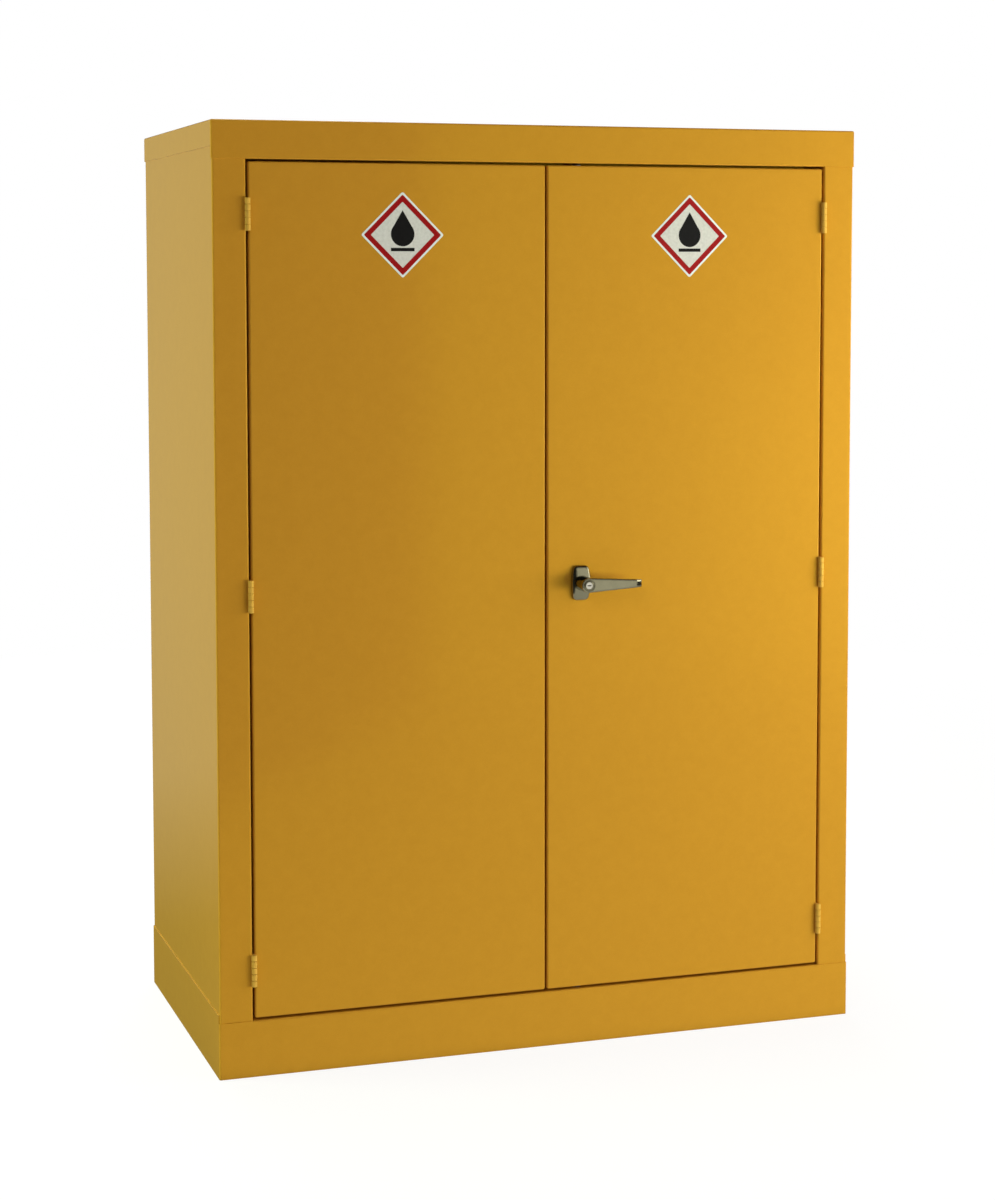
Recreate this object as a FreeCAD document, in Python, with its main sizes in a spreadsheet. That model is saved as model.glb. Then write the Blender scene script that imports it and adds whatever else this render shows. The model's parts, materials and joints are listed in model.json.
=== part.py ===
import FreeCAD, Part
import os
import re
import Sketcher

Vector = FreeCAD.Vector
Rotation = FreeCAD.Rotation

# Flammable storage cabinet: a folded steel carcass with two flush doors, three butt hinges to a
# door, spill-tray shelves over a liquid-tight sump, and a lever that drives two locking rods.
# Millimetres. +Z is up, the doors face -Y, and the origin is the centre of the footprint on the floor.

SIZES = {
    # whole cabinet
    "width": 900, "depth": 470, "height": 1240, "gauge": 1.2, "bend": 2.5,
    # side panels, with the stile, jamb and rear flange folded from each
    "stile": 45, "jamb": 25, "jamb_lip": 12, "rear_flange": 18,
    # top cap and plinth
    "cap_front": 49.5, "cap_side": 34, "plinth_front": 74.5, "plinth_side": 85,
    "edge_soft": 0.8, "wrap": 4, "flange_rise": 4, "flange_lip": 14, "foot": 25, "fold_clearance": 0.3,
    # inside
    "sump_floor": 62, "sump_depth": 50, "header_low": 1150, "header_shelf": 20,
    "standard_wide": 28, "standard_deep": 9, "standard_low": 116, "standard_high": 1180,
    "standard_front": -156, "standard_rear": 196,
    "slot_first": 135, "slot_pitch": 40, "slot_count": 26, "slot_wide": 4, "slot_tall": 12,
    "rivet_radius": 2.4, "rivet_head": 1.2,
    "shelf_front": -188, "shelf_rear": 226, "shelf_depth": 30, "shelf_play": 0.5,
    "lower_slot": 6, "middle_slot": 13, "upper_slot": 20,
    "clip_plate": 2, "clip_wide": 20, "clip_tall": 24, "clip_ledge": 16, "clip_hook": 3.4,
    # doors
    "door_gap": 3, "door_thick": 32, "door_lip": 15, "buffer": 3, "buffer_radius": 5,
    "buffer_play": 0.3, "buffer_near": 60, "buffer_far": 340,
    "stiffener_wide": 50, "stiffener_flange": 14, "stiffener_end": 25,
    # hinges
    "hinge_long": 42, "hinge_leaf": 1.2, "hinge_reach": 24, "knuckle_radius": 3.8, "knuckle_chamfer": 0.4,
    "pin_radius": 1.8, "pin_play": 0.05, "pin_stand": 3.3, "knuckle_play": 0.5, "leaf_relief": 0.5,
    "hinge_low": 141.5, "hinge_mid": 631, "hinge_high": 1120.5,
    # labels
    "label_half": 56, "label_thick": 0.3, "label_left": -198, "label_right": 205, "label_up": 1095,
    # lever handle
    "handle_x": 48, "handle_up": 630.6, "rosette_wide": 26, "rosette_tall": 47, "rosette_deep": 8,
    "rosette_bow": 110, "rosette_dome": 100, "rosette_corner": 6, "rosette_edge": 3,
    "hub_radius": 9.9, "hub_reach": 35.6, "hub_play": 0.3, "hub_edge": 0.6,
    "shank_radius": 8, "shank_play": 0.06, "shank_hole": 8.8, "shank_tail": 3,
    "lever_long": 76.5, "lever_thick": 6.5, "lever_tip": 9.8, "lever_edge": 1,
    "lever_turn_long": 9, "lever_turn_back": 3.2,
    "lock_radius": 6.6, "lock_long": 20, "plug_radius": 4.6, "plug_long": 16, "fit_play": 0.05,
    "lock_proud": 0.5, "plug_proud": 0.9, "key_slot_wide": 1.4, "key_slot_tall": 5.6, "key_slot_deep": 8,
    # locking gear inside the right door
    "rod_radius": 6, "rod_behind": 16, "rod_tip": 0.3, "rod_chamfer": 1.5, "rod_hole": 6.8,
    "spindle_side": 8, "square_play": 0.05, "cam_front": 14.5, "cam_thick": 3, "cam_radius": 21,
    "tongue_long": 60, "tongue_wide": 16, "crank": 16, "crank_pin": 3, "crank_thick": 3,
    "crank_air": 0.8, "crank_end": 0.8, "crank_slot": 4, "crank_inner": 7.5, "crank_outer": 26,
    "crank_wall": 5.5, "upper_start": 26, "lower_start": 66, "crank_weld": 20, "crank_step": 14,
    "stub_radius": 3, "washer_radius": 6, "washer_thick": 1.2, "nut_flats": 10, "nut_thick": 5,
    "stub_tail": 0.6, "tongue_slot_low": 42, "tongue_slot_high": 10, "tongue_slot_half": 4,
    "guide_wide": 24, "guide_tall": 12, "guide_play": 0.06, "guide_end": 37, "guide_inner": 130,
    "keeper_half": 30, "keeper_thick": 3, "keeper_hole": 7.5, "keeper_back": 4,
}

# Places and sizes worked out from the driving dimensions.
DERIVED = {
    "half": "width / 2",
    "front": "-depth / 2",
    "back": "depth / 2",
    "face": "front + gauge",
    "wall_out": "half - gauge",
    "wall_in": "half - 2 * gauge",
    "rear_out": "back - 2 * gauge",
    "jamb_x": "half - stile",
    "jamb_back": "face + jamb",
    "opening_half": "jamb_x - fold_clearance",
    "opening_low": "plinth_front",
    "opening_high": "height - cap_front",
    "door_low": "opening_low + door_gap",
    "door_high": "opening_high - door_gap",
    "door_outer": "jamb_x - door_gap",
    "door_inner": "door_gap / 2",
    "door_back": "face + door_thick",
    "pan_back": "door_back - gauge",
    "return_back": "door_back + buffer",
    "panel_top": "height - gauge",
    "sump_top": "sump_floor + sump_depth",
    "standard_face": "wall_in - standard_deep",
    "shelf_half": "standard_face - clip_plate - shelf_play",
    "pin_x": "jamb_x - door_gap / 2",
    "pin_y": "face - pin_stand",
    "bore_radius": "pin_radius + pin_play",
    "knuckle_pitch": "(hinge_long + knuckle_play) / 5",
    "knuckle_long": "knuckle_pitch - knuckle_play",
    "leaf_front": "pin_y + knuckle_radius + leaf_relief",
    "rosette_front": "face - rosette_deep",
    "hub_front": "face - hub_reach",
    "lever_back": "hub_front + lever_thick",
    "cam_y": "face + cam_front",
    "cam_back": "cam_y + cam_thick",
    "rod_y": "face + rod_behind",
    "crank_y": "cam_back + crank_air",
    "crank_back": "crank_y + crank_thick",
    "crank_offset": "crank * sqrt(2) / 2",
    "stub_end": "cam_back + washer_thick + nut_thick + stub_tail",
}


def bound(text):
    """The expression text with each size and derived place written as the sheet's cells."""
    def name(match):
        word = match.group(0)
        if word in DERIVED:
            return f"({bound(DERIVED[word])})"
        if word in SIZES:
            return f"Sizes.{word}"
        return word
    return re.sub(r"[a-z_]+", name, str(text))


doc = FreeCAD.newDocument("FlammableStorageCabinet")
sheet = doc.addObject("Spreadsheet::Sheet", "Sizes")
for row, (alias, number) in enumerate(SIZES.items(), 1):
    sheet.set(f"A{row}", alias)
    sheet.set(f"B{row}", str(number))
    sheet.setAlias(f"B{row}", alias)
doc.recompute()
parts = []


def value(text):
    """The number that an expression text stands for."""
    return float(sheet.evalExpression(bound(text)))


def keep(label, shape):
    """Marks a finished sub-part and gives it the label that names its file."""
    shape.Label = label
    parts.append(shape)
    return shape


def place(shape, x, y, z, rotation=None):
    """Puts a primitive at three bound coordinates, turned first if a rotation is given."""
    if rotation:
        shape.Placement.Rotation = rotation
    for axis, text in zip("xyz", (x, y, z)):
        shape.setExpression(f"Placement.Base.{axis}", bound(text))
    return shape


def block(x, y, z):
    """A box between pairs of expressions along X, Y and Z."""
    box = doc.addObject("Part::Box", "Block")
    for size, (low, high) in zip(("Length", "Width", "Height"), (x, y, z)):
        box.setExpression(size, bound(f"({high}) - ({low})"))
    return place(box, x[0], y[0], z[0])


def upright_bar(radius, x, y, z):
    """A cylinder along Z between the two heights in z."""
    bar = doc.addObject("Part::Cylinder", "UprightBar")
    bar.setExpression("Radius", bound(radius))
    bar.setExpression("Height", bound(f"({z[1]}) - ({z[0]})"))
    return place(bar, x, y, z[0])


def deep_bar(radius, x, y, z):
    """A cylinder along Y between the two depths in y."""
    bar = doc.addObject("Part::Cylinder", "DeepBar")
    bar.setExpression("Radius", bound(radius))
    bar.setExpression("Height", bound(f"({y[1]}) - ({y[0]})"))
    return place(bar, x, y[0], z, Rotation(Vector(1, 0, 0), -90))


def joined(shapes):
    """One shape from several. Shapes that don't meet stay separate solids."""
    fusion = doc.addObject("Part::MultiFuse", "Joined")
    fusion.Shapes = list(shapes)
    fusion.Refine = True
    return fusion


def less(base, tools):
    """The base with each tool cut from it."""
    for tool in tools:
        cut = doc.addObject("Part::Cut", "Less")
        cut.Base = base
        cut.Tool = tool
        cut.Refine = True
        base = cut
    return base


def in_common(shapes):
    """The space that all the shapes share."""
    common = doc.addObject("Part::MultiCommon", "Shared")
    common.Shapes = list(shapes)
    common.Refine = True
    return common


def eased(kind, base, size, chosen):
    """The base with a fillet or a chamfer, as kind says, on every edge that the test picks."""
    doc.recompute()
    feature = doc.addObject(f"Part::{kind}", kind)
    feature.Base = base
    amount = value(size)
    feature.Edges = [(i, amount, amount) for i, edge in enumerate(base.Shape.Edges, 1) if chosen(edge)]
    return feature


def new_body(name):
    return doc.addObject("PartDesign::Body", name)


def outline_sketch(body, plane, offset, outline):
    """A closed outline of bound points on one of the body's origin planes, moved along its normal."""
    sketch = body.newObject("Sketcher::SketchObject", "Outline")
    origin = next(f for f in body.Origin.OriginFeatures if f.Role == plane)
    sketch.AttachmentSupport = [(origin, "")]
    sketch.MapMode = "FlatFace"
    sketch.setExpression("AttachmentOffset.Base.z", bound(offset))
    points = [Vector(value(u), value(v), 0) for u, v in outline]
    count = len(points)
    for i in range(count):
        sketch.addGeometry(Part.LineSegment(points[i], points[(i + 1) % count]), False)
    for i in range(count):
        sketch.addConstraint(Sketcher.Constraint("Coincident", i, 2, (i + 1) % count, 1))
    for i, (u, v) in enumerate(outline):
        for kind, text, number in (("DistanceX", u, points[i].x), ("DistanceY", v, points[i].y)):
            index = sketch.addConstraint(Sketcher.Constraint(kind, -1, 1, i, 1, number))
            sketch.setExpression(f"Constraints[{index}]", bound(text))
    return sketch


def circle_sketch(body, plane, offset, centre, radius):
    """A circle with a bound centre and radius on one of the body's origin planes."""
    sketch = body.newObject("Sketcher::SketchObject", "Circle")
    origin = next(f for f in body.Origin.OriginFeatures if f.Role == plane)
    sketch.AttachmentSupport = [(origin, "")]
    sketch.MapMode = "FlatFace"
    sketch.setExpression("AttachmentOffset.Base.z", bound(offset))
    middle = Vector(value(centre[0]), value(centre[1]), 0)
    sketch.addGeometry(Part.Circle(middle, Vector(0, 0, 1), value(radius)), False)
    sizes = (("DistanceX", -1, 1, 0, 3, middle.x), ("DistanceY", -1, 1, 0, 3, middle.y))
    for size, text in zip(sizes + (("Radius", 0, value(radius)),), (*centre, radius)):
        index = sketch.addConstraint(Sketcher.Constraint(*size))
        sketch.setExpression(f"Constraints[{index}]", bound(text))
    return sketch


def pad(body, sketch, length):
    feature = body.newObject("PartDesign::Pad", "Pad")
    feature.Profile = sketch
    feature.setExpression("Length", bound(length))
    doc.recompute()
    return feature


def pocket(body, sketch, length):
    """A pocket along the sketch's normal that must take something away."""
    before = body.Shape.Volume
    feature = body.newObject("PartDesign::Pocket", "Pocket")
    feature.Profile = sketch
    feature.Reversed = True
    feature.setExpression("Length", bound(length))
    doc.recompute()
    if body.Shape.Volume > before - 1e-3:
        raise RuntimeError(f"a pocket in {body.Name} cut nothing")
    return feature


def fillet_edges(body, radius, chosen):
    """A fillet on every edge of the body so far that the test picks."""
    base = body.Tip
    names = [f"Edge{i}" for i, edge in enumerate(base.Shape.Edges, 1) if chosen(edge)]
    feature = body.newObject("PartDesign::Fillet", "Bend")
    feature.Base = (base, names)
    feature.setExpression("Radius", bound(radius))
    doc.recompute()
    return feature


def rectangle(u, v):
    return [(u[0], v[0]), (u[1], v[0]), (u[1], v[1]), (u[0], v[1])]


def direction(edge):
    return edge.tangentAt(edge.FirstParameter)


def is_kind(edge, *kinds):
    """True if the edge lies on one of the kinds of curve. A blended corner's edge may have none."""
    try:
        return isinstance(edge.Curve, kinds)
    except TypeError:
        return False


def is_circle(edge):
    return is_kind(edge, Part.Circle)


def runs_along(axis):
    """A test for straight edges along one axis, 0 for X, 1 for Y and 2 for Z."""
    def test(edge):
        return is_kind(edge, Part.Line, Part.LineSegment) and abs(direction(edge)[axis]) > 0.999
    return test


def at_corners(plane, corners):
    """A test for edges along a plane's normal through any of the corners given as expressions."""
    normal = {"XY_Plane": 2, "XZ_Plane": 1, "YZ_Plane": 0}[plane]
    across = [axis for axis in range(3) if axis != normal]
    spots = [(value(u), value(v)) for u, v in corners]
    along = runs_along(normal)

    def test(edge):
        if not along(edge):
            return False
        middle = edge.CenterOfMass
        return any(abs(middle[across[0]] - u) < 0.01 and abs(middle[across[1]] - v) < 0.01 for u, v in spots)
    return test


def folded(name, plane, start, length, outline, outer, inner):
    """A folded strip: an outline padded along the plane's normal from start, with its bends rounded."""
    body = new_body(name)
    pad(body, outline_sketch(body, plane, start, outline), length)
    if outer:
        fillet_edges(body, "bend", at_corners(plane, [outline[i] for i in outer]))
    if inner:
        fillet_edges(body, "bend - gauge", at_corners(plane, [outline[i] for i in inner]))
    return body


def side_panel(label, side):
    """Side wall with its front stile, jamb, jamb lip and rear flange. side is -1 left and 1 right."""
    points = [
        ("wall_out", "rear_out"), ("wall_out", "face"), ("jamb_x", "face"), ("jamb_x", "jamb_back"),
        ("jamb_x + jamb_lip", "jamb_back"), ("jamb_x + jamb_lip", "jamb_back - gauge"),
        ("jamb_x + gauge", "jamb_back - gauge"), ("jamb_x + gauge", "face + gauge"),
        ("wall_in", "face + gauge"), ("wall_in", "rear_out - gauge"),
        ("wall_out - rear_flange", "rear_out - gauge"), ("wall_out - rear_flange", "rear_out"),
    ]
    outline = [(f"{side} * ({x})", y) for x, y in points]
    body = folded(label, "XY_Plane", "gauge", "panel_top - gauge", outline, range(4), range(6, 10))
    return keep(label, body)


def tray(name, x, y, z):
    """An open pan with walls of the sheet's gauge, bent at its corners and round its floor."""
    body = new_body(name)
    pad(body, outline_sketch(body, "XY_Plane", z[0], rectangle(x, y)), f"{z[1]} - ({z[0]})")
    inside = rectangle((f"{x[0]} + gauge", f"{x[1]} - gauge"), (f"{y[0]} + gauge", f"{y[1]} - gauge"))
    pocket(body, outline_sketch(body, "XY_Plane", f"{z[0]} + gauge", inside), f"{z[1]} - ({z[0]})")
    outer = [(u, v) for u in x for v in y]
    fillet_edges(body, "bend", at_corners("XY_Plane", outer))
    fillet_edges(body, "bend - gauge", at_corners("XY_Plane", inside))
    low = value(z[0])
    fillet_edges(body, "bend", lambda edge: edge.BoundBox.ZMax < low + 0.01)
    return body


def head_or_sill(low, inward):
    """The return flange along the top or bottom of the door opening, with its upright lip."""
    rise = f"{low} + {inward} * flange_rise"
    lip = f"{low} + {inward} * flange_lip"
    skin = f"{low} + {inward} * gauge"
    outline = [
        ("front", rise), ("front", low), ("return_back", low), ("return_back", lip),
        ("return_back - gauge", lip), ("return_back - gauge", skin), ("front + gauge", skin),
        ("front + gauge", rise),
    ]
    return folded("ReturnFlange", "YZ_Plane", "-opening_half", "2 * opening_half", outline, (1, 2), (5, 6))


def rod_opening(z):
    """The clearance hole for a locking rod through a flange or plate."""
    return upright_bar("keeper_hole", "handle_x", "rod_y", z)


def skirt_rim(front_level, side_level):
    """A test for the outer edges along the front and side skirts' free rims."""
    front_z, side_z = value(front_level), value(side_level)
    front_y, side_x = value("front"), value("half")

    def test(edge):
        middle = edge.CenterOfMass
        if runs_along(0)(edge):
            return abs(middle.y - front_y) < 0.01 and abs(middle.z - front_z) < 0.01
        return runs_along(1)(edge) and abs(abs(middle.x) - side_x) < 0.01 and abs(middle.z - side_z) < 0.01
    return test


def top_cap():
    """Top tray turned down over the carcass, deeper in front, with the head of the door opening."""
    body = new_body("CapTray")
    low = "height - cap_front"
    pad(body, outline_sketch(body, "XY_Plane", low, rectangle(("-half", "half"), ("front", "back"))), "cap_front")
    inside = rectangle(("-wall_out", "wall_out"), ("face", "-face"))
    pocket(body, outline_sketch(body, "XY_Plane", low, inside), "cap_front - gauge")
    trim = rectangle(("-width", "width"), ("front + wrap", "depth"))
    pocket(body, outline_sketch(body, "XY_Plane", low, trim), "cap_front - cap_side")
    notch = rectangle(("-opening_half", "opening_half"), ("front - wrap", "front + wrap"))
    pocket(body, outline_sketch(body, "XY_Plane", low, notch), "flange_rise")
    outer = [(u, v) for u in ("-half", "half") for v in ("front", "back")]
    fillet_edges(body, "bend", at_corners("XY_Plane", outer))
    fillet_edges(body, "bend - gauge", at_corners("XY_Plane", inside))
    top = value("height")
    fillet_edges(body, "bend", lambda edge: edge.BoundBox.ZMin > top - 0.01)
    fillet_edges(body, "edge_soft", skirt_rim(low, "height - cap_side"))
    cap = joined([body, head_or_sill("opening_high", "1")])
    keep("top_cap", less(cap, [rod_opening(("opening_high - flange_rise", "opening_high + flange_rise"))]))


def plinth():
    """Base skirt with its foot flange and the sill of the door opening."""
    body = new_body("PlinthRing")
    whole = rectangle(("-half", "half"), ("front", "back"))
    pad(body, outline_sketch(body, "XY_Plane", "0", whole), "plinth_side")
    inside = rectangle(("-wall_out", "wall_out"), ("face", "-face"))
    pocket(body, outline_sketch(body, "XY_Plane", "gauge", inside), "plinth_side")
    void = rectangle(("-half + foot", "half - foot"), ("front + foot", "back - foot"))
    pocket(body, outline_sketch(body, "XY_Plane", "-gauge", void), "plinth_side")
    trim = rectangle(("-width", "width"), ("front - wrap", "front + wrap"))
    pocket(body, outline_sketch(body, "XY_Plane", "plinth_front", trim), "plinth_side")
    notch = rectangle(("-opening_half", "opening_half"), ("front - wrap", "front + wrap"))
    pocket(body, outline_sketch(body, "XY_Plane", "plinth_front - flange_rise", notch), "plinth_side")
    outer = [(u, v) for u in ("-half", "half") for v in ("front", "back")]
    fillet_edges(body, "bend", at_corners("XY_Plane", outer))
    fillet_edges(body, "bend - gauge", at_corners("XY_Plane", inside))
    fillet_edges(body, "edge_soft", skirt_rim("plinth_front", "plinth_side"))
    base = joined([body, head_or_sill("opening_low", "-1")])
    keep("plinth", less(base, [rod_opening(("opening_low - flange_rise", "opening_low + flange_rise"))]))


def back_panel():
    x = ("-half + bend", "half - bend")
    keep("back_panel", block(x, ("rear_out", "-face"), ("gauge", "panel_top")))


def sump_tray():
    """Welded liquid-tight pan across the bottom, whose front wall is the doors' lower stop."""
    body = tray("SumpTray", ("-wall_in", "wall_in"), ("return_back", "rear_out - gauge"),
                ("sump_floor", "sump_top"))
    keep("sump_tray", body)


def header_rail():
    """Angle across the top of the opening, the doors' upper stop."""
    outline = [
        ("return_back", "header_low"), ("return_back + header_shelf", "header_low"),
        ("return_back + header_shelf", "header_low + gauge"),
        ("return_back + gauge", "header_low + gauge"),
        ("return_back + gauge", "opening_high + flange_lip"), ("return_back", "opening_high + flange_lip"),
    ]
    keep("header_rail", folded("HeaderRail", "YZ_Plane", "-wall_in", "2 * wall_in", outline, (0,), (3,)))


def shelf_standard(label, side, middle):
    """Channel on the side wall with a ladder of slots for the shelf clips."""
    near = f"{middle} - standard_wide / 2"
    far = f"{middle} + standard_wide / 2"
    points = [
        ("wall_in", near), ("standard_face", near), ("standard_face", far), ("wall_in", far),
        ("wall_in", f"{far} - gauge"), ("standard_face + gauge", f"{far} - gauge"),
        ("standard_face + gauge", f"{near} + gauge"), ("wall_in", f"{near} + gauge"),
    ]
    outline = [(f"{side} * ({x})", y) for x, y in points]
    body = folded(label, "XY_Plane", "standard_low", "standard_high - standard_low", outline, (1, 2), (5, 6))
    slot = rectangle((f"{middle} - slot_wide / 2", f"{middle} + slot_wide / 2"),
                     ("slot_first - slot_tall / 2", "slot_first + slot_tall / 2"))
    start = "standard_face - gauge" if side > 0 else "-standard_face - 2 * gauge"
    sketch = outline_sketch(body, "YZ_Plane", start, slot)
    first = pocket(body, sketch, "3 * gauge")
    ladder = body.newObject("PartDesign::LinearPattern", "SlotLadder")
    ladder.Originals = [first]
    ladder.Direction = (sketch, ["V_Axis"])
    ladder.setExpression("Length", bound("slot_pitch * (slot_count - 1)"))
    ladder.setExpression("Occurrences", bound("slot_count"))
    body.Tip = ladder
    keep(label, body)


def standard_rivets():
    """Blind-rivet heads between the slots, three to a standard."""
    heads = []
    for side in (-1, 1):
        for middle in ("standard_front", "standard_rear"):
            for step in (0, 12, 24):
                head = doc.addObject("Part::Cylinder", "RivetHead")
                head.setExpression("Radius", bound("rivet_radius"))
                head.setExpression("Height", bound("rivet_head"))
                x = "standard_face - rivet_head" if side > 0 else "-standard_face"
                z = f"slot_first + slot_pitch * ({step} + 0.5)"
                heads.append(place(head, x, middle, z, Rotation(Vector(0, 1, 0), 90)))
    keep("standard_rivets", joined(heads))


def shelf(name):
    """One spill-tray shelf and the four clips that carry it at its slot."""
    seat = f"slot_first + slot_pitch * {name}_slot"
    body = tray("Shelf", ("-shelf_half", "shelf_half"), ("shelf_front", "shelf_rear"),
                (seat, f"{seat} + shelf_depth"))
    keep(f"{name}_shelf", body)
    clips = []
    for side in (-1, 1):
        for middle in ("standard_front", "standard_rear"):
            y = (f"{middle} - clip_wide / 2", f"{middle} + clip_wide / 2")
            face = "standard_face"
            reach = [(f"{face} - clip_plate", face, y, (f"{seat} - clip_plate", f"{seat} + clip_tall"))]
            reach.append((f"{face} - clip_ledge", face, y, (f"{seat} - clip_plate", seat)))
            hook_y = (f"{middle} - clip_hook / 2", f"{middle} + clip_hook / 2")
            hook_z = (f"{seat} - clip_hook", f"{seat} + clip_hook")
            reach.append((f"{face} - clip_plate", f"{face} + clip_hook", hook_y, hook_z))
            solids = []
            for low, high, y_pair, z_pair in reach:
                x_pair = (low, high) if side > 0 else (f"-({high})", f"-({low})")
                solids.append(block(x_pair, y_pair, z_pair))
            clips.append(joined(solids))
    keep(f"{name}_shelf_clips", joined(clips))


def door_buffers():
    """Rubber stops between the doors and the header rail and sump wall."""
    y = ("return_back - buffer + buffer_play", "return_back")
    levels = ("(header_low + door_high) / 2", "(door_low + sump_top) / 2")
    stops = [deep_bar("buffer_radius", f"{side} * buffer_{reach}", y, level)
             for side in (-1, 1) for reach in ("near", "far") for level in levels]
    keep("door_buffers", joined(stops))


def keepers():
    """Plates that stiffen the holes the locking rods enter."""
    x = ("handle_x - keeper_half", "handle_x + keeper_half")
    y = ("face + keeper_back", "return_back - gauge - keeper_back / 2")
    levels = {
        "upper_keeper": ("opening_high + gauge", "opening_high + gauge + keeper_thick"),
        "lower_keeper": ("opening_low - gauge - keeper_thick", "opening_low - gauge"),
    }
    for label, z in levels.items():
        keep(label, less(block(x, y, z), [rod_opening((f"{z[0]} - gauge", f"{z[1]} + gauge"))]))


def hinge_leaf(label, side, middle, knuckles, x):
    """A hinge leaf: its plate, and the knuckles of one side with the pin's bore through them."""
    def across(pair):
        return pair if side > 0 else (f"-({pair[1]})", f"-({pair[0]})")

    bottom = f"{middle} - hinge_long / 2"
    plate = block(across(x), ("leaf_front", "leaf_front + hinge_reach - leaf_relief"),
                  (bottom, f"{middle} + hinge_long / 2"))
    solids = [plate]
    for k in knuckles:
        z = (f"{bottom} + {k} * knuckle_pitch", f"{bottom} + {k} * knuckle_pitch + knuckle_long")
        solids.append(block(across(x), ("pin_y", "leaf_front"), z))
        knuckle = upright_bar("knuckle_radius", f"{side} * pin_x", "pin_y", z)
        solids.append(eased("Chamfer", knuckle, "knuckle_chamfer", is_circle))
    bore = upright_bar("bore_radius", f"{side} * pin_x", "pin_y",
                       (f"{bottom} - gauge", f"{middle} + hinge_long / 2 + gauge"))
    keep(label, less(joined(solids), [bore]))


def hinges():
    """Three butt hinges to a door: three knuckles on the frame's leaf, two on the door's."""
    frame_x = ("jamb_x - hinge_leaf", "jamb_x")
    door_x = ("door_outer", "door_outer + hinge_leaf")
    levels = {"lower": "hinge_low", "middle": "hinge_mid", "upper": "hinge_high"}
    for name, side in (("left", -1), ("right", 1)):
        for level, middle in levels.items():
            hinge_leaf(f"{name}_{level}_frame_leaf", side, middle, (0, 2, 4), frame_x)
            hinge_leaf(f"{name}_{level}_door_leaf", side, middle, (1, 3), door_x)
        pins = [upright_bar("pin_radius", f"{side} * pin_x", "pin_y",
                            (f"{middle} - hinge_long / 2", f"{middle} + hinge_long / 2"))
                for middle in levels.values()]
        keep(f"{name}_hinge_pins", joined(pins))


def door(name, side):
    """Outer pan with its returns and lips, the liner behind it and the channel between them."""
    x = ("door_inner", "door_outer") if side > 0 else ("-door_outer", "-door_inner")
    z = ("door_low", "door_high")
    body = new_body(f"{name.title()}DoorPan")
    pad(body, outline_sketch(body, "XZ_Plane", "-pan_back", rectangle(x, z)), "pan_back - face")

    def inset(by):
        return rectangle((f"{x[0]} + {by}", f"{x[1]} - ({by})"), (f"{z[0]} + {by}", f"{z[1]} - ({by})"))

    pocket(body, outline_sketch(body, "XZ_Plane", "-pan_back", inset("door_lip")), "2 * gauge")
    pocket(body, outline_sketch(body, "XZ_Plane", "-(pan_back - gauge)", inset("gauge")),
           "pan_back - face - 2 * gauge")
    corners = [(u, v) for u in x for v in z]
    fillet_edges(body, "bend", at_corners("XZ_Plane", corners))
    front_face = value("face")
    fillet_edges(body, "bend", lambda edge: edge.BoundBox.YMax < front_face + 0.01)
    slot = rectangle(("rod_y - tongue_slot_half", "rod_y + tongue_slot_half"),
                     ("handle_up - tongue_slot_low", "handle_up + tongue_slot_high"))
    start = "door_inner - gauge" if side > 0 else "-door_inner - 2 * gauge"
    pocket(body, outline_sketch(body, "YZ_Plane", start, slot), "3 * gauge")
    if side > 0:
        spindle = circle_sketch(body, "XZ_Plane", "-face - 2 * gauge", ("handle_x", "handle_up"), "shank_hole")
        pocket(body, spindle, "3 * gauge")
        for level in z:
            hole = circle_sketch(body, "XY_Plane", f"{level} - 2 * gauge", ("handle_x", "rod_y"), "rod_hole")
            pocket(body, hole, "4 * gauge")
    keep(f"{name}_door_skin", body)

    liner_x = (f"{x[0]} + gauge", f"{x[1]} - gauge")
    keep(f"{name}_door_liner", block(liner_x, ("pan_back", "door_back"), (f"{z[0]} + gauge", f"{z[1]} - gauge")))

    middle = f"{side} * (door_inner + door_outer) / 2"
    near, far = f"{middle} - stiffener_wide / 2", f"{middle} + stiffener_wide / 2"
    web, lip = "face + gauge", "pan_back"
    outline = [
        (near, web), (far, web), (far, f"{lip} - gauge"), (f"{far} + stiffener_flange", f"{lip} - gauge"),
        (f"{far} + stiffener_flange", lip), (f"{far} - gauge", lip), (f"{far} - gauge", f"{web} + gauge"),
        (f"{near} + gauge", f"{web} + gauge"), (f"{near} + gauge", lip),
        (f"{near} - stiffener_flange", lip), (f"{near} - stiffener_flange", f"{lip} - gauge"),
        (near, f"{lip} - gauge"),
    ]
    channel = folded("Stiffener", "XY_Plane", "door_low + stiffener_end",
                     "door_high - door_low - 2 * stiffener_end", outline, (0, 1, 5, 8), (2, 6, 7, 11))
    keep(f"{name}_door_stiffener", channel)


def label_plate(name):
    """A thin square label standing on its corner, stuck to the door."""
    x, up = f"label_{name}", "label_up"
    outline = [(f"{x} - label_half", up), (x, f"{up} - label_half"),
               (f"{x} + label_half", up), (x, f"{up} + label_half")]
    keep(f"{name}_label", folded("Label", "XZ_Plane", "-face", "label_thick", outline, range(4), ()))


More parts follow.
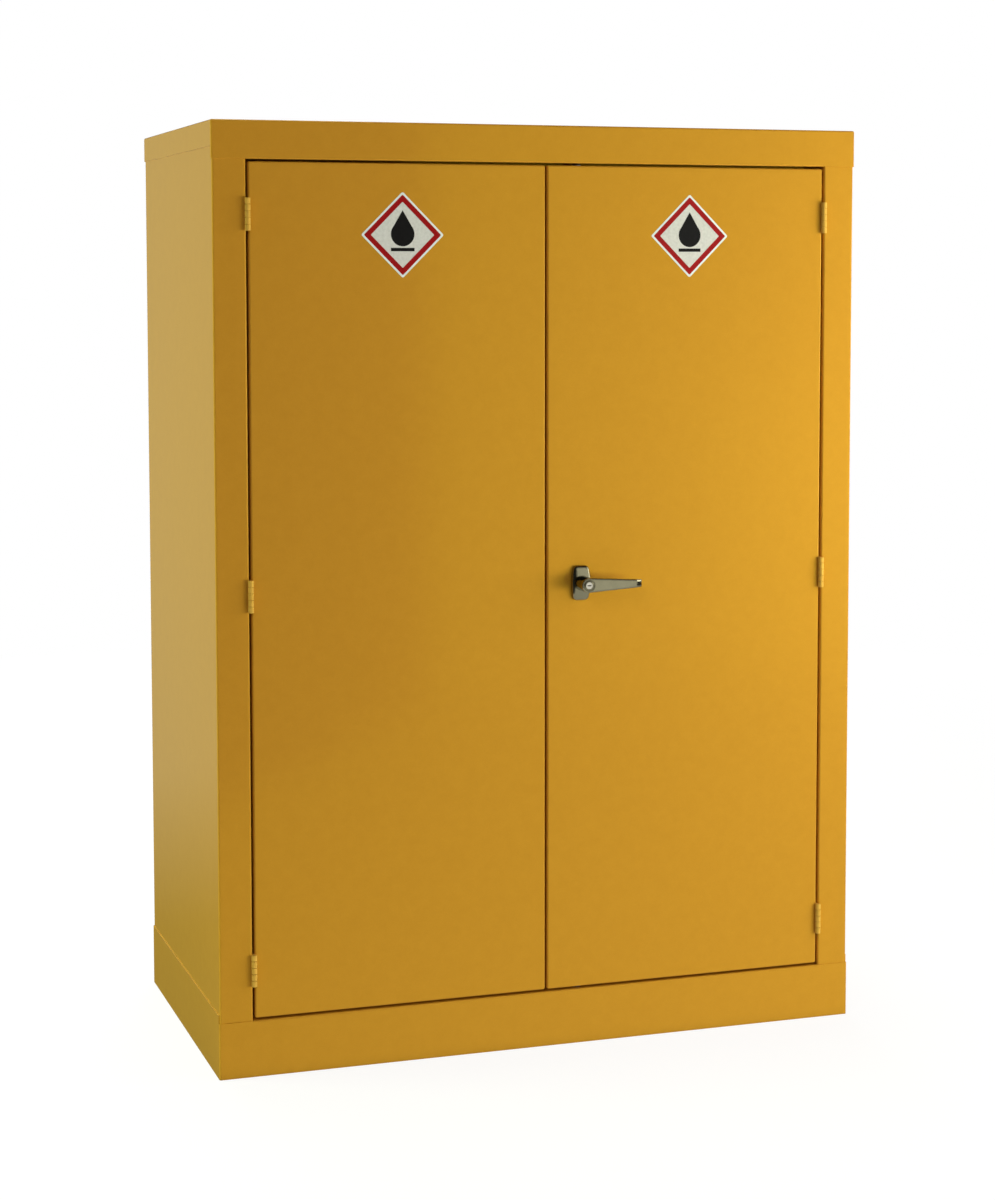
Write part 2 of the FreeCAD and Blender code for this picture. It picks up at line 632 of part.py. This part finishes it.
def handle_rosette():
    """Domed plate with bowed sides that the lever's shank turns in."""
    x, up, y = "handle_x", "handle_up", ("rosette_front", "face")
    slab = block((f"{x} - rosette_wide / 2", f"{x} + rosette_wide / 2"), y,
                 (f"{up} - rosette_tall / 2", f"{up} + rosette_tall / 2"))
    sides = [deep_bar("rosette_bow", f"{x} + {side} * (rosette_bow - rosette_wide / 2)", y, up)
             for side in (-1, 1)]
    dome = doc.addObject("Part::Sphere", "Dome")
    dome.setExpression("Radius", bound("rosette_dome"))
    place(dome, x, "rosette_front + rosette_dome", up)
    plate = eased("Fillet", in_common([slab, *sides, dome]), "rosette_corner", runs_along(1))
    door_face = value("face")
    plate = eased("Fillet", plate, "rosette_edge",
                  lambda edge: edge.BoundBox.YMax < door_face - 0.01 and not runs_along(1)(edge))
    bore = deep_bar("shank_radius + shank_play", x, ("rosette_front - gauge", "face + gauge"), up)
    keep("handle_rosette", less(plate, [bore]))


def square_bar(side, y):
    return block((f"handle_x - ({side}) / 2", f"handle_x + ({side}) / 2"), y,
                 (f"handle_up - ({side}) / 2", f"handle_up + ({side}) / 2"))


def handle_lever():
    """Round hub with its shank, and the flat lever that tapers to a tip turned back to the door."""
    x, up, tip = "handle_x", "handle_up", "handle_x + lever_long"
    front_view = new_body("GripFront")
    outline = [(x, f"{up} - hub_radius"), (tip, f"{up} - lever_tip / 2"),
               (tip, f"{up} + lever_tip / 2"), (x, f"{up} + hub_radius")]
    pad(front_view, outline_sketch(front_view, "XZ_Plane", "-lever_back", outline), "lever_thick")
    top_view = new_body("GripTop")
    turn = f"{tip} - lever_turn_long"
    outline = [(x, "hub_front"), (turn, "hub_front"), (tip, "hub_front + lever_turn_back"),
               (tip, "lever_back"), (x, "lever_back")]
    pad(top_view, outline_sketch(top_view, "XY_Plane", f"{up} - hub_radius", outline), "2 * hub_radius")
    back, hub_x = value("lever_back"), value(x)
    grip = eased("Fillet", in_common([front_view, top_view]), "lever_edge",
                 lambda edge: edge.BoundBox.YMax < back - 0.01 and edge.BoundBox.XMax > hub_x + 0.01)
    hub = eased("Fillet", deep_bar("hub_radius", x, ("hub_front", "rosette_front - hub_play"), up),
                "hub_edge", is_circle)
    shank = deep_bar("shank_radius", x, ("rosette_front - gauge", "face + gauge + shank_tail"), up)
    whole = joined([grip, hub, shank])
    barrel = deep_bar("lock_radius + fit_play", x, ("hub_front - gauge", "hub_front + lock_long"), up)
    square = square_bar("spindle_side + 2 * square_play",
                        ("hub_front + lock_long + gauge", "face + gauge + shank_tail + gauge"))
    keep("handle_lever", less(whole, [barrel, square]))


def lock():
    """Lock cylinder in the hub, and the plug in it that the key turns."""
    x, up = "handle_x", "handle_up"
    barrel = deep_bar("lock_radius", x, ("hub_front - lock_proud", "hub_front + lock_long"), up)
    bore = deep_bar("plug_radius + fit_play", x, ("hub_front - 2 * lock_proud", "hub_front + plug_long"), up)
    keep("lock_cylinder", less(barrel, [bore]))
    plug = deep_bar("plug_radius", x, ("hub_front - plug_proud", "hub_front + plug_long - gauge"), up)
    keyway = block((f"{x} - key_slot_tall / 2", f"{x} + key_slot_tall / 2"),
                   ("hub_front - 2 * plug_proud", "hub_front + key_slot_deep"),
                   (f"{up} - key_slot_wide / 2", f"{up} + key_slot_wide / 2"))
    keep("key_plug", less(plug, [keyway]))


def spindle():
    """Square bar from the hub to the cam, with the round stub that takes the nut."""
    bar = square_bar("spindle_side", ("hub_front + lock_long + gauge", "cam_back"))
    stub = deep_bar("stub_radius", "handle_x", ("cam_back", "stub_end"), "handle_up")
    keep("handle_spindle", joined([bar, stub]))


def lock_cam():
    """Cam plate with the tongue that holds the left door and the two crank pins."""
    x, up, y = "handle_x", "handle_up", ("cam_y", "cam_back")
    disc = deep_bar("cam_radius", x, y, up)
    tongue = block((f"{x} - tongue_wide / 2", f"{x} + tongue_wide / 2"), y, (f"{up} - tongue_long", up))
    solids = [disc, tongue]
    for side in (-1, 1):
        solids.append(deep_bar("crank_pin", f"{x} + {side} * crank_offset",
                               ("cam_y", "crank_back + crank_end"), f"{up} + {side} * crank_offset"))
    hole = square_bar("spindle_side + 2 * square_play", ("cam_y - gauge", "cam_back + gauge"))
    keep("lock_cam", less(joined(solids), [hole]))


def cam_nut_and_washer():
    x, up = "handle_x", "handle_up"
    washer_y = ("cam_back", "cam_back + washer_thick")
    nut_y = ("cam_back + washer_thick", "cam_back + washer_thick + nut_thick")
    hole_y = ("cam_back - gauge", "stub_end + gauge")
    washer = deep_bar("washer_radius", x, washer_y, up)
    keep("cam_washer", less(washer, [deep_bar("stub_radius + fit_play", x, hole_y, up)]))
    nut = doc.addObject("Part::Prism", "Nut")
    nut.Polygon = 6
    nut.setExpression("Circumradius", bound("nut_flats / sqrt(3)"))
    nut.setExpression("Height", bound("nut_thick"))
    place(nut, x, nut_y[0], up, Rotation(Vector(1, 0, 0), -90))
    keep("cam_nut", less(nut, [deep_bar("stub_radius + fit_play", x, hole_y, up)]))


def locking_rod(label, side, start, far_end):
    """A round rod with a cranked fork that a cam pin drives. side is 1 for the upper rod."""
    def spot(x, z):
        return (f"handle_x - {side} * ({x})", f"handle_up + {side} * ({z})")

    slot_mid = "-crank_offset"
    slot_low, slot_high = f"{slot_mid} - crank_slot", f"{slot_mid} + crank_slot"
    end = f"{slot_low} - crank_wall"
    closed = "crank_outer - crank_wall"
    weld = f"{start} + crank_weld"
    outline = [
        spot("crank_outer", end), spot("crank_inner", end), spot("crank_inner", slot_low),
        spot(closed, slot_low), spot(closed, slot_high), spot("crank_inner", slot_high),
        spot("crank_inner", start), spot("-rod_radius", start), spot("-rod_radius", weld),
        spot("crank_outer - crank_step", weld), spot("crank_outer", f"{weld} - crank_step"),
    ]
    crank = new_body("Crank")
    pad(crank, outline_sketch(crank, "XZ_Plane", "-crank_back", outline), "crank_thick")
    ends = (f"handle_up + {start}", far_end) if side > 0 else (far_end, f"handle_up - {start}")
    bar = upright_bar("rod_radius", "handle_x", "rod_y", ends)
    tip = value(far_end)
    blunt = eased("Chamfer", bar, "rod_chamfer",
                  lambda edge: is_circle(edge) and abs(edge.CenterOfMass.z - tip) < 0.01)
    keep(label, joined([blunt, crank]))


def rod_guides(label, heights):
    """Blocks on the back of the door's skin that the rod slides through."""
    x = ("handle_x - guide_wide / 2", "handle_x + guide_wide / 2")
    y = ("face + gauge", "rod_y + rod_radius + keeper_thick")
    blocks = []
    for height in heights:
        z = (height, f"{height} + guide_tall")
        bore = upright_bar("rod_radius + guide_play", "handle_x", "rod_y",
                           (f"{z[0]} - gauge", f"{z[1]} + gauge"))
        blocks.append(less(block(x, y, z), [bore]))
    keep(label, joined(blocks))


side_panel("left_side_panel", -1)
side_panel("right_side_panel", 1)
back_panel()
top_cap()
plinth()
sump_tray()
header_rail()
for hand, sign in (("left", -1), ("right", 1)):
    for place_name in ("front", "rear"):
        shelf_standard(f"{place_name}_{hand}_standard", sign, f"standard_{place_name}")
standard_rivets()
for level_name in ("lower", "middle", "upper"):
    shelf(level_name)
door_buffers()
keepers()
hinges()
door("left", -1)
door("right", 1)
label_plate("left")
label_plate("right")
handle_rosette()
handle_lever()
lock()
spindle()
lock_cam()
cam_nut_and_washer()
locking_rod("upper_rod", 1, "upper_start", "opening_high - rod_tip")
locking_rod("lower_rod", -1, "lower_start", "opening_low + rod_tip")
rod_guides("upper_rod_guides", ("door_high - guide_end", "handle_up + guide_inner"))
rod_guides("lower_rod_guides", ("door_low + guide_end - guide_tall", "handle_up - guide_inner - guide_tall"))

doc.recompute()
for item in doc.Objects:
    if "Invalid" in item.State or "Error" in item.State:
        raise RuntimeError(f"{item.Name} ({item.Label}) is {item.State}")
for item in parts:
    if item.Shape.isNull() or not item.Shape.isValid() or not item.Shape.Solids:
        raise RuntimeError(f"{item.Label} has no sound shape")
os.makedirs("parts", exist_ok=True)
for item in parts:
    item.Shape.exportStep(f"parts/{item.Label}.step")
    print(item.Label, len(item.Shape.Solids), round(item.Shape.Volume, 1))
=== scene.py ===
"""Flammable storage cabinet: the looks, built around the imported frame. Metres, +Z up, doors face -Y."""
import json
import math

import bmesh
import bpy
from mathutils import Matrix, Vector


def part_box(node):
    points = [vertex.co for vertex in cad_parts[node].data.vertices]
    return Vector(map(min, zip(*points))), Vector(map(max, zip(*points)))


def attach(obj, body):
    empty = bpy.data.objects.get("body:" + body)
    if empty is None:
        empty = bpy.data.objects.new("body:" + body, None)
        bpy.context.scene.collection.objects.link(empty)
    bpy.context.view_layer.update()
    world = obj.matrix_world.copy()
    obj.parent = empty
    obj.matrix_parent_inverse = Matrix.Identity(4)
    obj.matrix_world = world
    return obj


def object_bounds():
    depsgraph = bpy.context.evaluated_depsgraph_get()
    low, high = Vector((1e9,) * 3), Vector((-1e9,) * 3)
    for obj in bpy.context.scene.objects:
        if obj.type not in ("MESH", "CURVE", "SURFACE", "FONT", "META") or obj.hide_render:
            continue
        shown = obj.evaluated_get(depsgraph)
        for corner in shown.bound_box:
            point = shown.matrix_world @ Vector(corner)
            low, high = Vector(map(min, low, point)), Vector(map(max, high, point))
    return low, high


bpy.ops.wm.read_factory_settings(use_empty=True)
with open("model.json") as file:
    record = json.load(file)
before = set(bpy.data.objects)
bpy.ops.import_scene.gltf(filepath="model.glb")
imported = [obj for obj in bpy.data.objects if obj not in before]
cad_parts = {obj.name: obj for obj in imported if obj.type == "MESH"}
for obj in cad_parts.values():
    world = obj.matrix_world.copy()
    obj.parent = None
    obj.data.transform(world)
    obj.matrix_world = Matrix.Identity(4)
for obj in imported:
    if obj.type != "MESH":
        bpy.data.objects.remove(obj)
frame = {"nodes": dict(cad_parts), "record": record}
cad_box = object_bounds()
nodes = frame["nodes"]
scene = bpy.context.scene

MM = 0.001
INK_THICK = 0.06 * MM

# The room, as the cabinet sees it: how bright each side is, and white paper on the ground in front.
FRONT, BEHIND, CEILING, GROUND = 0.03, 0.25, 0.02, 0.05
PAPER = ((-1.5, -0.24), (0.09, -2.10), (0.645, -2.94), (3.4, -2.94), (3.4, -0.24))
PAPER_GLOW = 0.54
FLOOR_RADIUS = 3.4

# Name, place, target, size, watts, colour, and whether shiny surfaces reflect the light itself.
LIGHTS = (
    ("Key", (1.05, -0.62, 1.00), (0.35, -0.235, 0.75), (0.4, 1.2), 3.0, (1.0, 0.98, 0.80), False),
    ("Glint", (1.05, -0.62, 0.855), (0.07, -0.26, 0.855), (0.4, 0.60), 3.2, (1.0, 0.98, 0.86), True),
    ("Low", (2.4, -2.6, 0.36), (0.0, -0.235, 0.30), (2.2, 0.8), 59, (1.0, 0.98, 0.78), False),
    ("Panel", (2.145, -2.94, 0.85), (2.145, 0.0, 0.85), (3.0, 1.7), 13, (1.0, 0.98, 0.90), True),
    ("Lift", (-1.5, -2.2, 1.9), (-0.3, -0.235, 0.8), (1.2, 1.0), 13, (1.0, 0.98, 1.0), False),
    ("Fill", (-2.4, 0.3, 0.85), (-0.45, 0.0, 0.5), (1.2, 1.8), 57, (0.79, 1.0, 0.60), False),
    ("Top", (0.0, 1.5, 7.0), (0.0, 1.5, 0.0), (3.0, 3.0), 200, (1.0, 1.0, 1.0), True),
    ("Rear", (0.0, 3.2, 1.6), (0.0, 0.235, 0.7), (2.0, 2.0), 45, (1.0, 0.98, 0.92), False),
)

# The camera: its place in cabinet heights from the middle of the front's foot, and its turn in degrees.
CAMERA_PLACE = (-0.8732, -2.4577, 0.8423)
YAW, PITCH, ROLL = 18.40, -4.28, 0.07
LENS, SENSOR = 73.02, 36
SHIFT_UP = -0.12


# ---------------------------------------------------------------- node helpers

class Shader:
    """A material's node tree, with a short way to add and link its nodes."""

    def __init__(self, name):
        self.material = bpy.data.materials.new(name)
        self.material.use_nodes = True
        self.tree = self.material.node_tree
        self.bsdf = self.tree.nodes["Principled BSDF"]
        self.place = self.add("ShaderNodeTexCoord").outputs["Object"]

    def add(self, kind, inputs=None, **settings):
        """A new node with its settings made and its input sockets fed."""
        node = self.tree.nodes.new(kind)
        for key, setting in settings.items():
            setattr(node, key, setting)
        for key, source in (inputs or {}).items():
            self.feed(node.inputs[key], source)
        return node

    def feed(self, socket, source):
        """Links a socket to another node's output, or sets its value."""
        if isinstance(source, bpy.types.NodeSocket):
            self.tree.links.new(source, socket)
        else:
            socket.default_value = source

    def set(self, **inputs):
        """Feeds the shader's own sockets, each named with underscores for spaces."""
        for key, source in inputs.items():
            self.feed(self.bsdf.inputs[key.replace("_", " ")], source)

    def noise(self, scale, detail=3, roughness=0.5, stretch=(1, 1, 1)):
        """Noise with features about 1/scale metres across, drawn out along an axis by stretch."""
        narrow = [1 / part for part in stretch]
        spread = self.add("ShaderNodeMapping", {"Vector": self.place, "Scale": narrow}).outputs["Vector"]
        wanted = {"Vector": spread, "Scale": scale, "Detail": detail, "Roughness": roughness}
        return self.add("ShaderNodeTexNoise", wanted).outputs["Fac"]

    def between(self, source, low, high, start=0.3, stop=0.7):
        """The source from start to stop, mapped onto low to high."""
        wanted = {"Value": source, "From Min": start, "From Max": stop, "To Min": low, "To Max": high}
        return self.add("ShaderNodeMapRange", wanted).outputs["Result"]

    def blend(self, factor, first, second):
        """A mix of two colours."""
        node = self.add("ShaderNodeMix", data_type="RGBA")
        self.feed(node.inputs[0], factor)
        for socket, source in ((node.inputs[6], first), (node.inputs[7], second)):
            self.feed(socket, rgba(source) if isinstance(source, tuple) else source)
        return node.outputs[2]

    def bump(self, height, depth, strength=1.0, under=None):
        """A normal that rises and falls by depth metres."""
        node = self.add("ShaderNodeBump", {"Height": height, "Distance": depth, "Strength": strength})
        if under:
            self.feed(node.inputs["Normal"], under)
        return node.outputs["Normal"]


def rgba(colour):
    """A colour with full opacity."""
    return (*colour, 1.0)


def linear(red, green, blue):
    """A colour given in screen values from 0 to 255."""
    def part(level):
        level /= 255
        return level / 12.92 if level <= 0.04045 else ((level + 0.055) / 1.055) ** 2.4
    return (part(red), part(green), part(blue))


# ---------------------------------------------------------------- materials

def paint(name, colour, dull, gloss):
    """Glossy enamel: faint orange peel, a slow wave in the sheet, and soft mottling with fine specks."""
    shader = Shader(name)
    mottle = shader.noise(70, 4, 0.6)
    speckle = shader.noise(900, 2, 0.6)
    tone = shader.blend(shader.between(mottle, 0, 1), colour, dull)
    grain = shader.between(speckle, 0.0, 0.16)
    tone = shader.blend(grain, tone, tuple(part * 0.72 for part in colour))
    peel = shader.bump(shader.noise(420, 2, 0.5), 0.02 * MM, 0.30)
    wave = shader.bump(shader.noise(5, 1, 0.4), 0.8 * MM, 0.05, peel)
    rough = shader.between(shader.noise(60, 4, 0.6), gloss - 0.03, gloss + 0.03)
    shader.set(Base_Color=tone, Roughness=rough, Normal=wave, IOR=1.6, Specular_Tint=rgba((1.0, 0.76, 0.03)))
    return shader.material


def metal(name, colour, roughness, brush=(1, 1, 1), round_edge=0.0):
    """Bare or plated metal: a fine grain drawn out by brush, a slight bloom, edges polished round."""
    shader = Shader(name)
    lines = shader.noise(1400, 3, 0.6, brush)
    bloom = shader.noise(45, 4, 0.6)
    dark = tuple(part * 0.78 for part in colour)
    shader.set(Base_Color=shader.blend(shader.between(bloom, 0, 0.7), colour, dark), Metallic=1.0)
    shader.set(Roughness=shader.between(bloom, roughness * 0.8, roughness * 1.25))
    edge = None
    if round_edge:
        edge = shader.add("ShaderNodeBevel", {"Radius": round_edge}, samples=6).outputs["Normal"]
    shader.set(Normal=shader.bump(lines, 0.012 * MM, 0.4, edge))
    return shader.material


def rubber():
    """Dull black rubber with a little dust."""
    shader = Shader("Rubber")
    dust = shader.blend(shader.between(shader.noise(200), 0, 1), (0.018, 0.018, 0.018), (0.045, 0.043, 0.04))
    shader.set(Base_Color=dust, Roughness=0.85, Normal=shader.bump(shader.noise(900), 0.06 * MM, 0.6))
    return shader.material


def vinyl(name, colour, worn):
    """Printed vinyl film: slightly uneven ink over a faint calendered grain."""
    shader = Shader(name)
    tone = shader.blend(shader.between(shader.noise(260, 3), 0, 1), colour, worn)
    shader.set(Base_Color=tone, Roughness=shader.between(shader.noise(90), 0.3, 0.42))
    shader.set(Normal=shader.bump(shader.noise(1200, 2), 0.01 * MM, 0.4), Specular_IOR_Level=0.25)
    return shader.material


YELLOW = paint("YellowPaint", (0.660, 0.320, 0.031), (0.635, 0.304, 0.029), 0.11)
# Painted highlight: the hinges wear a lighter copy of the yellow paint, lightened to stand in for the light
# their knuckles catch.
LIT_HINGE_PAINT = paint("LitHingePaint", (0.84, 0.50, 0.09), (0.76, 0.44, 0.07), 0.16)
ZINC = metal("ZincSteel", (0.50, 0.51, 0.50), 0.36, (1, 1, 12))
ROD_STEEL = metal("RodSteel", (0.46, 0.45, 0.42), 0.30, (1, 1, 20))
CHROME = metal("Chrome", (0.36, 0.34, 0.225), 0.08, round_edge=4.0 * MM)
# Painted shade: a near-black metal for the plate put inside the key slot, where there is only shade.
SLOT_SHADE = metal("SlotShade", (0.05, 0.045, 0.03), 0.5)
NICKEL = metal("Nickel", (0.86, 0.83, 0.72), 0.22)
RUBBER = rubber()
WHITE_VINYL = vinyl("WhiteVinyl", (0.90, 0.97, 0.95), (0.84, 0.91, 0.89))
FIELD_VINYL = vinyl("FieldVinyl", linear(230, 232, 226), linear(216, 218, 212))
RED_VINYL = vinyl("RedVinyl", linear(172, 8, 10), linear(154, 6, 8))
BLACK_VINYL = vinyl("BlackVinyl", (0.003, 0.003, 0.003), (0.006, 0.006, 0.006))

SLOT_MATERIALS = {
    "yellow_paint": YELLOW, "hinge_paint": LIT_HINGE_PAINT, "zinc_steel": ZINC, "chrome": CHROME,
    "brass": NICKEL, "label": WHITE_VINYL, "rubber": RUBBER,
}


def dress_nodes():
    """Gives every CAD node its finished material."""
    own = {"upper_rod": ROD_STEEL, "lower_rod": ROD_STEEL}
    for subpart in frame["record"]["subparts"]:
        mesh = nodes[subpart["node"]].data
        mesh.materials.clear()
        mesh.materials.append(own.get(subpart["node"], SLOT_MATERIALS[subpart["material_slot"]]))


# ---------------------------------------------------------------- mesh helpers

def make_object(name, build, material):
    """A flat-shaded object made from a bmesh, in one material."""
    mesh = bpy.data.meshes.new(name)
    build.to_mesh(mesh)
    build.free()
    mesh.materials.append(material)
    made = bpy.data.objects.new(name, mesh)
    scene.collection.objects.link(made)
    return made


def add_piece(name, build, material, body):
    """A piece of the cabinet, riding on a body."""
    piece = make_object(name, build, material)
    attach(piece, body)


def plate(points, y_front, y_back):
    """A flat plate in the XZ plane from a loop of (x, z) points."""
    build = bmesh.new()
    face = build.faces.new([build.verts.new((x, y_back, z)) for x, z in points])
    if face.normal.y < 0:
        face.normal_flip()
    made = bmesh.ops.extrude_face_region(build, geom=[face])
    for vertex in (part for part in made["geom"] if isinstance(part, bmesh.types.BMVert)):
        vertex.co.y = y_front
    bmesh.ops.recalc_face_normals(build, faces=build.faces)
    return build


# ---------------------------------------------------------------- labels and key slot

def diamond(x, z, half, corner, steps=6):
    """A square on its corner with rounded corners, anticlockwise from the right."""
    points = []
    centre_out = half - corner * math.sqrt(2)
    for quarter in range(4):
        middle = math.radians(90 * quarter)
        for step in range(steps + 1):
            angle = middle + math.radians(90) * (step / steps - 0.5)
            points.append((x + centre_out * math.cos(middle) + corner * math.cos(angle),
                           z + centre_out * math.sin(middle) + corner * math.sin(angle)))
    return points


def ring(outer, inner, y_front, y_back):
    """A flat ring between two loops with the same number of points."""
    build = bmesh.new()
    rows = [[build.verts.new((x, y, z)) for x, z in loop]
            for loop, y in ((outer, y_back), (outer, y_front), (inner, y_front), (inner, y_back))]
    count = len(outer)
    for low, high in zip(rows, rows[1:] + rows[:1]):
        for i in range(count):
            j = (i + 1) % count
            build.faces.new((low[i], low[j], high[j], high[i]))
    bmesh.ops.recalc_face_normals(build, faces=build.faces)
    return build


def droplet(x, z, radius, rise, steps=28):
    """A plain drop: most of a circle, its two ends drawn up to a point."""
    points = []
    for step in range(steps + 1):
        angle = math.radians(-220 + 260 * step / steps)
        points.append((x + radius * math.cos(angle), z + radius * math.sin(angle)))
    points.append((x, z + rise))
    return points


def label(name, body):
    """The label's grey field, red band and plain mark, printed on the white plate."""
    low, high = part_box(name)
    x, z = (low.x + high.x) / 2, (low.z + high.z) / 2
    half = (high.x - low.x) / 2
    front = low.y
    proud = front - INK_THICK
    field = plate(diamond(x, z, half * 0.79, 1.0 * MM), front - INK_THICK / 2, front)
    add_piece(f"{name}_field", field, FIELD_VINYL, body)
    outside, inside = diamond(x, z, half * 0.95, 1.5 * MM), diamond(x, z, half * 0.78, 1.0 * MM)
    band = ring(outside, inside, proud, front)
    add_piece(f"{name}_band", band, RED_VINYL, body)
    mark = plate(droplet(x, z + 0.02 * half, 0.29 * half, 0.56 * half), proud, front)
    add_piece(f"{name}_mark", mark, BLACK_VINYL, body)
    bar_corners = ((-0.29, -0.385), (0.29, -0.385), (0.29, -0.305), (-0.29, -0.305))
    bar = plate([(x + u * half, z + v * half) for u, v in bar_corners], proud, front)
    add_piece(f"{name}_bar", bar, BLACK_VINYL, body)


def keyway():
    """Painted shade: a dark notched plate just inside the key slot, put there to darken the slot as its
    shade would, outlined in millimetres from its middle.
    """
    low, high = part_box("key_plug")
    x, z = (low.x + high.x) / 2, (low.z + high.z) / 2
    outline = ((-2.7, -0.66), (2.7, -0.66), (2.7, 0.66), (0.7, 0.66), (0.4, 0.3), (-0.4, 0.3), (-0.7, 0.66),
               (-2.7, 0.66))
    slot_shade = plate([(x + u * MM, z + v * MM) for u, v in outline], low.y + 0.2 * MM, low.y + 0.6 * MM)
    add_piece("keyslot_shade", slot_shade, SLOT_SHADE, "key_plug")


# ---------------------------------------------------------------- stage

def add_area(name, place, target, size, watts, colour, glossy):
    """A soft light that the camera doesn't see."""
    data = bpy.data.lights.new(name, "AREA")
    data.shape = "RECTANGLE"
    data.size, data.size_y = size
    data.energy = watts
    data.color = colour
    light = bpy.data.objects.new(name, data)
    light.location = place
    light.rotation_euler = (Vector(target) - Vector(place)).to_track_quat("-Z", "Y").to_euler()
    light.visible_camera = False
    light.visible_glossy = glossy
    scene.collection.objects.link(light)


def stage():
    """A pale round floor whose glow evens out to white at its rim, a dim room, and the lights."""
    shader = Shader("PaleFloor")
    reach = shader.add("ShaderNodeVectorMath", {0: shader.place}, operation="LENGTH").outputs["Value"]
    fade = shader.between(reach, 0, 1, 0.35 * FLOOR_RADIUS, 0.95 * FLOOR_RADIUS)
    shader.set(Base_Color=shader.blend(fade, (0.16, 0.16, 0.16), (0.0, 0.0, 0.0)), Roughness=0.8)
    shader.set(Emission_Color=rgba((1, 1, 1)), Emission_Strength=shader.between(fade, 0.88, 1.0, 0, 1))
    shader.set(Specular_IOR_Level=0.1)
    build = bmesh.new()
    bmesh.ops.create_circle(build, cap_ends=True, segments=96, radius=FLOOR_RADIUS)
    floor = make_object("Floor", build, shader.material)
    floor.visible_diffuse = floor.visible_glossy = floor.visible_shadow = False
    bounce()
    surround()
    for light in LIGHTS:
        add_area(*light)
    scene.view_settings.view_transform = "Standard"


def bounce():
    """White paper under the floor in front, cut off aslant at the left. Only the cabinet sees it."""
    shader = Shader("PaperGlow")
    shader.set(Base_Color=rgba((0, 0, 0)), Emission_Color=rgba((1.0, 0.99, 0.95)))
    shader.set(Emission_Strength=PAPER_GLOW)
    build = bmesh.new()
    build.faces.new([build.verts.new((x, y, -1 * MM)) for x, y in PAPER])
    paper = make_object("Paper", build, shader.material)
    paper.visible_camera = paper.visible_shadow = False


def surround():
    """White where the camera looks past the cabinet, and a dim room for all that the metal reflects."""
    world = bpy.data.worlds.new("Surround")
    world.use_nodes = True
    tree = world.node_tree
    background = tree.nodes["Background"]
    background.inputs["Color"].default_value = (1, 1, 1, 1)
    place = tree.nodes.new("ShaderNodeTexCoord")
    split = tree.nodes.new("ShaderNodeSeparateXYZ")
    tree.links.new(place.outputs["Generated"], split.inputs["Vector"])
    before = None
    for axis, start, stop, last in (
        ("Y", -0.1, 0.3, BEHIND), ("Z", 0.10, 0.45, CEILING), ("Z", -0.20, -0.26, GROUND),
    ):
        room = tree.nodes.new("ShaderNodeMapRange")
        for key, number in (("From Min", start), ("From Max", stop), ("To Min", FRONT), ("To Max", last)):
            room.inputs[key].default_value = number
        tree.links.new(split.outputs[axis], room.inputs["Value"])
        if before:
            tree.links.new(before.outputs["Result"], room.inputs["To Min"])
        before = room
    path = tree.nodes.new("ShaderNodeLightPath")
    pick = tree.nodes.new("ShaderNodeMix")
    tree.links.new(path.outputs["Is Camera Ray"], pick.inputs[0])
    tree.links.new(room.outputs["Result"], pick.inputs[2])
    pick.inputs[3].default_value = 1.0
    tree.links.new(pick.outputs[0], background.inputs["Strength"])
    scene.world = world


def camera():
    """Looks at the cabinet from the left, a little below its top."""
    data = bpy.data.cameras.new("Camera")
    data.sensor_width = SENSOR
    data.lens = LENS
    data.shift_y = SHIFT_UP
    view = bpy.data.objects.new("Camera", data)
    height, front = cad_box[1].z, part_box("top_cap")[0].y
    across, away, up = (part * height for part in CAMERA_PLACE)
    view.location = (across, front + away, up)
    yaw, pitch, roll = (math.radians(turn) for turn in (YAW, PITCH, ROLL))
    forward = Vector((math.sin(yaw) * math.cos(pitch), math.cos(yaw) * math.cos(pitch), math.sin(pitch)))
    view.rotation_mode = "QUATERNION"
    tilt = Matrix.Rotation(roll, 3, forward)
    view.rotation_quaternion = (tilt @ forward.to_track_quat("-Z", "Y").to_matrix()).to_quaternion()
    scene.collection.objects.link(view)
    scene.camera = view


dress_nodes()
label("left_label", "left_door")
label("right_label", "right_door")
keyway()
stage()
camera()

bpy.context.view_layer.update()
